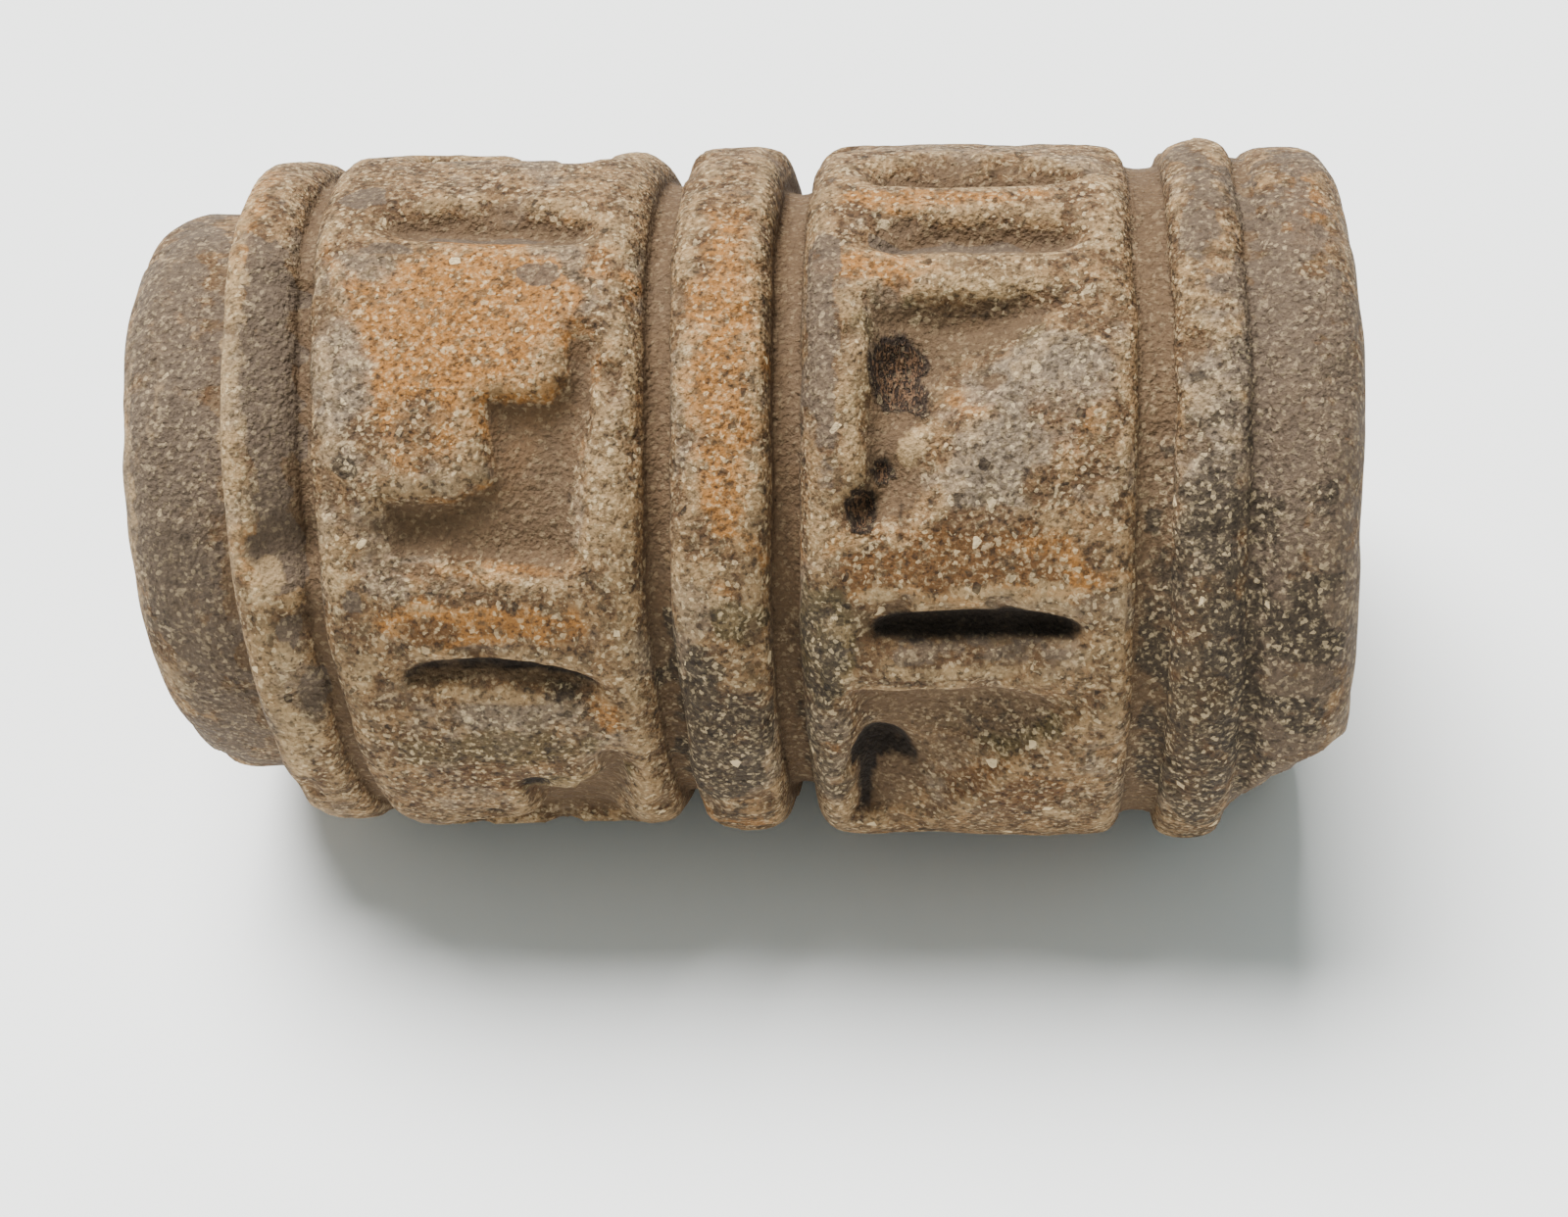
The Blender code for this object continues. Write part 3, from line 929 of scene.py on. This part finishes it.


# Some tones below hold painted shade and highlight, as marked at each.
# Patches of colour by tone.  Each row is a place along the axis, a turn, half a width, half a
# turn and, where it isn't whole, a strength.  The rows run from the collar to the end band, and
# the last ones of a tone are on the sides that the photograph doesn't show.
STAINS = {
    Tone.OCHRE: (
        (-33.9, 10, 1.2, 9, 0.7), (-28.8, -8, 1.2, 16, 0.7), (-28, 54, 1.6, 6, 0.6),
        (-14.6, 20, 7.6, 22), (-14.5, 57.8, 6.2, 1.6, 0.6), (-15, 66, 6.5, 4.2),
        (-7.5, 83.5, 1.6, 4, 0.8), (0.3, 24, 2.6, 32, 0.85), (-1.5, 117, 3.2, 6, 0.7),
        (7.4, 55, 1.6, 4, 0.8), (6.3, 90, 0.5, 1.6), (12.5, -7.5, 7, 2.6, 0.9),
        (9.8, 8.5, 3.4, 3.4, 0.9), (15, 31.5, 2, 3.4, 0.7), (20.4, 34.5, 2.6, 6.5, 0.9),
        (13.6, 56.5, 9.5, 5.6), (17.2, 101, 4.2, 6, 0.6), (35, -4, 1.6, 16, 0.6),
        (14, 150, 8, 22, 0.8), (-12, 235, 9, 24, 0.9), (0, 290, 2.6, 30, 0.8),
        (-28, 280, 3, 34, 0.7),
    ),
    Tone.GREY: (
        (-34, 30, 3.6, 70, 0.7), (-22.3, 28, 2, 12, 0.95), (-14, 82.5, 6.5, 3.4, 0.75),
        (6, 62, 1.5, 9, 0.9), (18.6, 31, 4.6, 12), (15.6, 42, 3.6, 6.5), (28.6, 34, 2.2, 20, 0.9),
        (-14, 165, 8, 20, 0.8), (13, 300, 8, 22, 0.7),
    ),
    # Soot.  The broad rows low on the front, near a turn of 90, darken the lower side: partly
    # patina, partly painted shade.
    Tone.SOOT: (
        (-35.5, 68, 1, 9, 0.5), (-22.1, 41.3, 0.8, 2.6, 0.95), (-14.6, 61, 4.2, 0.9, 0.7),
        (-10, 78.8, 1.6, 1.8, 0.7), (-3.2, 65.7, 0.6, 1.8, 0.9), (-0.9, 90, 3.6, 26, 0.8),
        (5.9, 88, 2.4, 24, 0.66), (15.2, 15, 3.4, 1.2, 0.6), (12, 75, 5, 1.2, 0.6),
        (16.6, 86.5, 3.4, 5, 0.5), (28.8, 76, 4.2, 50, 0.72), (34.9, 46, 1.3, 3.6, 0.7),
        (34.4, 59, 1.8, 4, 0.75), (34.5, 68.5, 2.2, 6, 0.85), (34.9, 82, 1.8, 5, 0.75),
        (0, 190, 3, 22, 0.7), (16, 245, 8, 18, 0.6),
    ),
    # The rows on the fret's right slope (-6.7, 37) and along the ridge under the right slot (13.4,
    # 73.8) are painted highlight
    Tone.PALE: (
        (-36.7, 42, 0.7, 36, 0.72), (-34.4, 24, 0.6, 13, 0.62), (-35.5, 83, 1.8, 8, 0.7),
        (-29.2, 22, 1.2, 44, 0.76), (-27.4, 59.5, 1, 3.4, 0.95), (-27.2, 72, 1.2, 4, 0.95),
        (-27.6, 90, 1.4, 9, 0.85), (-6.7, 37, 1, 15, 0.66), (-23.3, 59, 0.8, 3, 0.95),
        (-22, 73, 1.6, 5, 0.85), (-16.8, 63.2, 3.4, 0.9, 0.8), (-18.4, 111, 4.4, 5, 0.6),
        (-0.7, 58, 2.4, 5, 0.7), (7.8, 34, 0.5, 6, 0.85), (16.4, 12, 5, 2, 0.85),
        (11.4, 38.3, 0.9, 3.4, 0.95), (18, 49, 3.4, 2.6, 0.6), (9.8, 60.8, 1.8, 1.8, 0.95),
        (17.6, 60.4, 4.2, 1.9, 0.85), (13.4, 73.8, 6.6, 1.6, 0.85), (20.6, 108, 2, 4, 0.75),
        (28, 215, 3, 30, 0.6),
    ),
    Tone.OLIVE: (
        (-11, 41, 3.4, 8, 0.3), (-14.5, 91, 7.5, 6, 0.66), (-10.8, 103, 3.6, 7, 0.9),
        (1, 65.5, 1.9, 3.6), (6.2, 70, 1.9, 13), (13.4, 19, 6.5, 5, 0.75), (14, 84, 6.6, 6, 0.5),
        (10.6, 97, 2.2, 6, 0.7), (16.6, 86.5, 4, 6, 0.95), (29, 51.3, 1.2, 3, 0.9),
    ),
    Tone.RUST: (
        (-9.6, 25, 2.2, 4, 0.5), (-18, 34, 2.4, 4, 0.45), (-17.8, 67.5, 1.8, 2.6, 0.8),
        (-13, 66.5, 2.4, 2.4, 0.55), (-17, 98, 4.6, 6, 0.75), (20.6, 35, 2.2, 5.5, 0.6),
        (15.2, 50.5, 3.4, 3.4, 0.85), (12.5, 56, 8, 5.2, 0.78), (8.2, 80, 0.7, 6, 0.9),
        (17, 103, 4.6, 7, 0.9), (12, 205, 7, 7, 0.7),
    ),
    Tone.SOIL: (
        (-33.4, 40, 4.2, 100, 0.72), (-34.6, 55, 2, 20, 0.9), (-26.7, 28, 1.9, 34, 0.9),
        (-26.4, 54, 1.1, 4), (-26.4, 67, 0.9, 4), (-25.8, 80, 0.9, 6), (-21.2, -9.5, 1.9, 3.2),
        (-14.6, -1.6, 4.6, 1.8, 0.76), (-19.4, 4, 2.2, 2.4, 0.7), (-10.6, 9, 1.6, 2.4, 0.8),
        (-22, 62.5, 0.8, 2.6, 0.9), (6, 20, 1.3, 30, 0.75), (14.2, -16, 5, 1.7, 0.76),
        (14.2, 1, 5.4, 1.8, 0.8), (14, 70.4, 7.5, 2.6, 0.62), (28.4, -6, 1.6, 22, 0.7),
        (33.6, 55, 5.2, 110, 0.72), (32.4, 40, 2, 40, 0.9), (28.8, 170, 2.4, 40, 0.8),
        (-33.5, 220, 3.4, 70, 0.8), (34.5, 250, 3.4, 60, 0.8),
    ),
    Tone.FIBRES: (
        (10.2, 25, 1.5, 8.5), (11.5, 29.5, 1, 3.6, 0.9), (9.5, 41.5, 0.6, 1.8),
        (8.3, 48.2, 0.8, 3.2),
    ),
    # Painted shade: black in pits, cracks and creases
    Tone.BLACK: (
        (-14.6, 55.4, 6, 0.4, 0.5), (-13.1, 101.5, 1, 2.8), (-16.8, 113.6, 0.8, 2, 0.9),
        (3.9, 47, 0.5, 10, 0.45), (-3.9, 32, 0.4, 16, 0.4), (6.3, 77, 0.4, 1.2, 0.9),
        (9.2, 24, 0.4, 4.6, 0.8), (10.7, 47.8, 0.3, 2.4, 0.8), (16.9, 27.5, 0.25, 1.4, 0.5),
        (15.3, 70.8, 0.8, 0.8, 0.9), (28, 41.3, 0.5, 1.4, 0.55), (26.8, 57.8, 0.4, 1.6, 0.6),
        (31.6, 27.8, 0.3, 1.8, 0.55),
    ),
}


@dataclass
class RollerStamp:
    """The roller: its turned form, its carving, its damage, its stains and its painted shade and
    highlights.
    """

    outline: TurnedOutline = field(default_factory=TurnedOutline)
    lean: Lean = field(default_factory=Lean)
    end_break: BrokenEnd = field(default_factory=BrokenEnd)
    finish: FiredClay = field(default_factory=FiredClay)
    noise: ClayNoise = field(default_factory=ClayNoise)
    row_count: int = 255
    column_count: int = 380
    end_share: float = 0.45
    outline_length: float = 100.0
    mean_radius: float = 22.0
    left_starts: tuple[float, ...] = (-1.0, 73.5, 141.0, 207.0, 273.5)
    right_starts: tuple[float, ...] = (1.2, 65.5, 133.0, 200.0, 267.0)
    spare_slot: float = -16.3
    side_turn: float = 90.0
    # Strength of the painted shade in creases and hollows on the sides turned away
    hidden_soot: float = 0.5
    left_margins: tuple[float, float] = (4.2, 2.7)
    right_margins: tuple[float, float] = (3.6, 2.4)
    left_slot_reach: tuple[float, float] = (0.9, 0.2)
    right_slot_reach: tuple[float, float] = (0.6, 0.3)
    slot_turn: float = 1.2
    fret_reach: float = 0.5
    cut_wedge_reach: float = 1.1
    hollow_along: float = 1.5
    hollow_turn: float = 45.0
    barrel_radii: tuple[float, float] = (14.0, 17.5)
    wear: float = 0.7
    filling: float = 0.7
    chipping: float = 1.1
    end_lumps: float = 0.25
    wear_blur: float = 0.6
    near_blur: float = 0.9
    chip_blur: float = 1.3
    wide_blur: float = 2.2
    worn_slant: Pairs = (
        (12.0, 18.0), (10.6, 22.5), (8.9, 26.9), (7.8, 31.0), (6.0, 34.2), (5.6, 38.5),
        (5.0, 44.0), (3.8, 49.5))
    cut_slant: Pairs = ((13.7, 16.0), (3.4, 49.5))

    def span(self, panel: str, margins: tuple[float, float],
             reach: tuple[float, float] = (0.0, 0.0)) -> tuple[float, float]:
        """Return where a panel's carving starts and ends along the axis.

        Args:
            panel: The panel's name.
            margins: What the recesses leave plain at its left and at its right.
            reach: How far the slots go on past the recesses, at the left and at the right.

        Returns:
            The two places.
        """
        start = self.outline.start(panel)
        end = start + self.outline.widths[panel]
        return start + margins[0] - reach[0], end - margins[1] + reach[1]

    def slots(self) -> list[GougedSlot]:
        """Make the slots: those on top wide and clean, the rest narrow, with painted shade in
        their creases.

        Returns:
            All the slots of both panels.
        """
        left, right = self.span("left_panel", self.left_margins, self.left_slot_reach)
        slots = [GougedSlot(left, right, self.left_starts[0] - 1.0, half_turn=5.0, depth=1.8,
                            bow=0.8, tilt=1.2)]
        slots += [GougedSlot(left, right, start + self.slot_turn, half_turn=2.7, depth=1.8,
                             bow=2.6, tilt=1.0,
                             soot=0.9 if start < self.side_turn else self.hidden_soot)
                  for start in self.left_starts[1:]]
        left, right = self.span("right_panel", self.right_margins, self.right_slot_reach)
        slots += [GougedSlot(left, right, start, half_turn=4.4, depth=2.1, bow=1.0)
                  for start in (self.spare_slot, self.right_starts[0])]
        slots += [GougedSlot(left, right, start + self.slot_turn, half_turn=3.4, depth=2.5,
                             bow=1.0, soot_end=0.6,
                             soot=1.0 if start < self.side_turn else self.hidden_soot)
                  for start in self.right_starts[1:]]
        return slots

    def carving(self, x: Grid, turn: Grid, wander: Grid) -> tuple[Grid, Grid]:
        """Return the depth of all the carving in the two panels.

        Args:
            x: Place along the axis.
            turn: Turn round the axis.
            wander: Noise that makes edges wander, in millimetres.

        Returns:
            The deepest cut at each point in millimetres, and how much painted shade blackens its
            creases and hollows.
        """
        form = self.outline
        deepest, shade = np.zeros(x.shape), np.zeros(x.shape)
        for slot in self.slots():
            deepest = np.maximum(deepest, slot.cut(x + wander, turn + wander))
            shade = np.maximum(shade, slot.shade(x + wander, turn + 2.0 * wander))
        left, right = self.span("left_panel", self.left_margins)
        radius = form.widest_radius - form.left_panel_drop
        for start in self.left_starts:
            fret = SteppedFret(start, left, right + self.fret_reach, radius)
            deepest = np.maximum(deepest, fret.cut(x, turn, 0.6 * wander))
        left, right = self.span("right_panel", self.right_margins)
        radius = form.widest_radius - form.right_panel_drop
        for index, start in enumerate(self.right_starts):
            slant = self.worn_slant if index == 0 else self.cut_slant
            slant = tuple((left + along, angle) for along, angle in slant)
            reach = self.cut_wedge_reach if index else 0.0
            wedge = WedgeRecess(start, left - reach, right, radius, slant)
            depth = wedge.cut(x, turn, wander)
            if index:
                hollow = BossHollow(left + self.hollow_along, start + self.hollow_turn, radius)
                share = hollow.share(x + wander, turn) * ramp(depth, 0.1, 0.9)
                depth = depth + hollow.depth * share
                # Painted shade blackens the hollow round the boss, weaker on the sides turned away
                black = 1.0 if start < self.side_turn else self.hidden_soot
                shade = np.maximum(shade, black * ramp(share, 0.1, 0.5))
            deepest = np.maximum(deepest, depth)
        return deepest, shade

    def damage(self) -> list[Dent | FlankBreak]:
        """Place the damage that shows in the photograph.

        Each row is a place along the axis, a turn, half a width, half a turn, a depth, which
        is below zero for a lump of clay left standing, and how ragged the edge is.

        Returns:
            The broken flank, and the chips, bites and pits.
        """
        form = self.outline
        ring = form.start("left_ring")
        edge = ring + form.left_ring_width - 0.6
        broken = FlankBreak(ring + 1.7, ring + 5.6, top=6.0, bottom=57.0, depth=0.9,
                            radius=form.widest_radius)
        rows = (
            (10.5, 26, 1.9, 8.4, 1.5, 0.4), (9.5, 41.5, 0.8, 2.2, 1, 0.5),
            (8.3, 48.2, 1.1, 3.6, 1.5, 0.5), (11.6, 37.5, 1.6, 3.6, -0.6, 0.4),
            (16.2, 28, 1.2, 2.4, 0.6, 0.3), (-13.1, 101.5, 1.3, 3.4, 0.9, 0.4),
            (-16.8, 113.6, 1, 2.4, 0.6, 0.4), (28, 41.5, 0.7, 2, 0.5), (29, 51.5, 1.3, 3.2, 0.5),
            (26.8, 57.7, 0.7, 2.2, 0.5), (31.6, 27.5, 0.6, 3.2, 0.5),
            (edge - 0.4, 54, 1.8, 5.5, 0.7, 0.6), (edge, 66, 1.4, 3.5, 0.9, 0.6),
            (edge + 0.2, 80, 1.5, 5, 0.8, 0.6), (29.9, 83, 0.6, 1.6, 0.6),
            (27.1, 93, 0.7, 1.8, 0.5), (34.4, 68, 1.7, 5, 0.4, 0.8), (34.3, 59, 1.2, 3, 0.3, 0.8),
        )
        return [broken] + [Dent(*row) for row in rows]

    def blur(self, values: Grid, reach: float) -> Grid:
        """Blur a grid with a bell curve: round the columns it wraps, past the rows it holds.

        Args:
            values: The grid, rows along the roller and columns round it.
            reach: Standard deviation of the bell curve, in millimetres.

        Returns:
            The blurred grid.
        """
        row_reach = reach / (self.outline_length / self.row_count)
        column_reach = reach / (2.0 * math.pi * self.mean_radius / self.column_count)
        pad = int(4 * row_reach) + 1
        padded = np.pad(values, ((pad, pad), (0, 0)), mode="edge")
        rows = np.fft.fftfreq(padded.shape[0])[:, None] * row_reach
        columns = np.fft.fftfreq(padded.shape[1])[None, :] * column_reach
        passed = np.exp(-2.0 * math.pi ** 2 * (rows ** 2 + columns ** 2))
        return np.fft.ifft2(np.fft.fft2(padded) * passed).real[pad:-pad]

    def surface(self) -> tuple[Grid, dict[str, Grid]]:
        """Work out every point of the roller, what covers the clay there and where shade and
        highlight are painted.

        The radius of the turned outline, less the carving, less the damage, less wear on
        sharp edges, plus noise of several sizes; then the broken end, the lean and the flat.

        Returns:
            Points in millimetres over the floor, and the masks by name: coverings, painted shade
            and painted highlight.
        """
        rows = self.outline.rows(self.row_count, self.end_share)
        angle = np.arange(self.column_count) * 2.0 * math.pi / self.column_count
        x, radius = (np.repeat(rows[:, k:k + 1], self.column_count, axis=1) for k in (0, 1))
        turn = np.repeat(np.degrees(angle)[None, :], self.row_count, axis=0)
        round_about = np.stack([x, -radius * np.sin(angle), radius * np.cos(angle)], axis=2)
        barrel = ramp(radius, *self.barrel_radii)

        # Hand-drawn bands wander along the axis, and the whole form is a little uneven
        drift = self.noise.plain(round_about * [0.2, 1.0, 1.0], Layer.SWAY)
        drift += self.noise.plain(round_about, Layer.JITTER)
        wander = self.noise.fractal(round_about, Layer.WANDER)
        cut, shade = self.carving(x, turn, wander)
        ragged = self.noise.fractal(round_about, Layer.RAGGED)
        lost = sum(dent.cut(x, turn, ragged) for dent in self.damage())
        cut = cut + lost
        radius = radius - cut * barrel
        soft = self.blur(radius, self.wear_blur)
        edge = np.clip(radius - soft, 0.0, None)
        soil = np.clip(soft - radius, 0.0, None)
        wear = self.wear + self.noise.plain(round_about, Layer.WEAR)
        broad = self.blur(radius, self.chip_blur)
        chips = ramp(self.noise.fractal(round_about, Layer.CHIPS), 0.25, 0.6)
        chipped = self.chipping * chips * np.clip(radius - broad, 0.0, None)
        worn = radius - barrel * (edge * wear + chipped - self.filling * soil)
        lumps = self.noise.plain(round_about, Layer.SWELLS)
        lumps += self.noise.plain(round_about, Layer.LUMPS)
        lumps += self.noise.fractal(round_about, Layer.PIMPLES)
        radius = worn + lumps * (self.end_lumps + (1.0 - self.end_lumps) * barrel)

        # What the hollows gather and what the crowns lose, with painted shade in the creases
        # and a painted highlight on the edges
        near = self.blur(radius, self.near_blur)
        hollow = self.blur(radius, self.wide_blur) - radius
        dust = ramp(hollow, 0.05, 0.75) + 0.36 * ramp(cut, 0.4, 1.4) + 0.8 * ramp(lost, 0.2, 0.8)
        dust = np.clip(dust, 0.0, 1.0) * barrel
        # Painted shade, darker where the surface lies below its near surroundings
        painted_shade = 0.3 * ramp(near - radius, 0.12, 0.60) * barrel
        # Paler convex edges: partly rubbed wear, partly painted highlight
        rubbed_and_highlight = ramp(radius - near, 0.03, 0.20) * barrel * (1.0 - 0.8 * chips)
        dust = np.clip(dust + 0.6 * chips * ramp(chipped, 0.1, 0.4), 0.0, 1.0)

        place = np.stack([x + drift, -radius * np.sin(angle), radius * np.cos(angle)], axis=2)
        place, taken = self.end_break.strip(place, self.outline.start("end_band"), ragged)
        masks = {"dust": np.maximum(dust, 0.6 * ramp(taken, 0.05, 0.5)), "painted_shade": painted_shade}
        for tone, rows in STAINS.items():
            covers = [Stain(*row).cover(x, turn, ragged) for row in rows]
            masks[tone.value] = np.maximum.reduce(covers)
        # The painted shade of slot creases and boss hollows joins the painted black shade of pits
        # and cracks
        masks["black"] = np.maximum(masks["black"], shade)
        masks["rubbed_and_highlight"] = rubbed_and_highlight * (1.0 - 0.8 * np.maximum(masks["soot"], masks["soil"]))
        covered = np.maximum(masks["dust"], 0.8 * masks["soil"])
        masks["bare"] = 1.0 - 0.75 * np.clip(covered - masks["soot"], 0.0, 1.0)
        masks["bare"] *= 1.0 - 0.85 * masks["black"]
        place[..., 0] += self.lean.shift(place)
        axis_height = self.outline.widest_radius - self.outline.flat_depth
        place[..., 2] = np.maximum(place[..., 2] + axis_height, 0.0)
        return place, masks

    def build(self) -> bpy.types.Object:
        """Make the roller's mesh, closed at both ends, with its masks and its clay.

        Returns:
            The finished piece.
        """
        place, masks = self.surface()
        count, columns = place.shape[:2]
        ends = place[[0, -1]].mean(axis=1)
        points = np.concatenate([place.reshape(-1, 3), ends]) * MM
        here = np.arange(count * columns).reshape(count, columns)
        beside = np.roll(here, -1, axis=1)
        quads = np.stack([here[:-1], beside[:-1], beside[1:], here[1:]], axis=2)
        poles = np.repeat([[count * columns], [count * columns + 1]], columns, axis=1)
        left = np.stack([poles[0], beside[0], here[0]], axis=1)
        right = np.stack([poles[1], here[-1], beside[-1]], axis=1)
        mesh = bpy.data.meshes.new("roller_body")
        faces = quads.reshape(-1, 4).tolist() + left.tolist() + right.tolist()
        mesh.from_pydata(points.tolist(), [], faces)
        mesh.shade_smooth()
        for name, values in masks.items():
            ends_value = [values[0].mean(), values[-1].mean()]
            attribute = mesh.attributes.new(name, 'FLOAT', 'POINT')
            attribute.data.foreach_set("value", np.concatenate([values.ravel(), ends_value]))
        mesh.materials.append(self.finish.material())
        piece = bpy.data.objects.new("roller_body", mesh)
        bpy.context.scene.collection.objects.link(piece)
        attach(piece, BODY)
        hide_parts(NODE)
        LOG.info("%s: %d triangles", piece.name, 2 * count * columns)
        return piece


@dataclass(frozen=True)
class Studio:
    """A flat white card under one large soft lamp, in pale air.

    Turns are degrees: how wide the lamp looks from the roller, how high it hangs over the
    floor, and how far it stands from straight behind the roller, clockwise from above.
    """

    floor: str = "#f7f7f5"
    half_width: float = 1.5
    sky: float = 0.55
    sky_tint: str = "#edfbfa"
    key_strength: float = 9.8
    key_softness: float = 38.0
    key_height: float = 68.0
    key_side: float = -38.0

    def build(self) -> None:
        """Lay the floor, hang the lamp and light the air."""
        mesh = bpy.data.meshes.new("floor")
        corners = [(x * self.half_width, y * self.half_width, 0.0)
                   for x, y in ((-1, -1), (1, -1), (1, 1), (-1, 1))]
        mesh.from_pydata(corners, [], [(0, 1, 2, 3)])
        card = bpy.data.materials.new("matt_white_card")
        card.use_nodes = True
        shader = card.node_tree.nodes["Principled BSDF"]
        shader.inputs["Base Color"].default_value = linear_colour(self.floor)
        shader.inputs["Roughness"].default_value = 0.9
        mesh.materials.append(card)
        floor = bpy.data.objects.new("floor", mesh)
        bpy.context.scene.collection.objects.link(floor)
        data = bpy.data.lights.new("key", 'SUN')
        data.energy = self.key_strength
        data.angle = math.radians(self.key_softness)
        lamp = bpy.data.objects.new("key", data)
        up, over = math.radians(self.key_height), math.radians(self.key_side)
        toward = Vector((math.cos(up) * math.sin(over), math.cos(up) * math.cos(over),
                         math.sin(up)))
        lamp.rotation_euler = toward.to_track_quat('Z', 'Y').to_euler()
        bpy.context.scene.collection.objects.link(lamp)
        world = bpy.data.worlds.new("studio_air")
        world.use_nodes = True
        air = world.node_tree.nodes["Background"]
        air.inputs["Strength"].default_value = self.sky
        air.inputs["Color"].default_value = linear_colour(self.sky_tint)
        bpy.context.scene.world = world


def main() -> None:
    """Build the roller, the camera and the studio."""
    logging.basicConfig(level=logging.INFO, format="%(name)s %(message)s")
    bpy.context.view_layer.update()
    RollerStamp().build()
    Lens().place_camera()
    Studio().build()


if __name__ == "__main__":
    main()
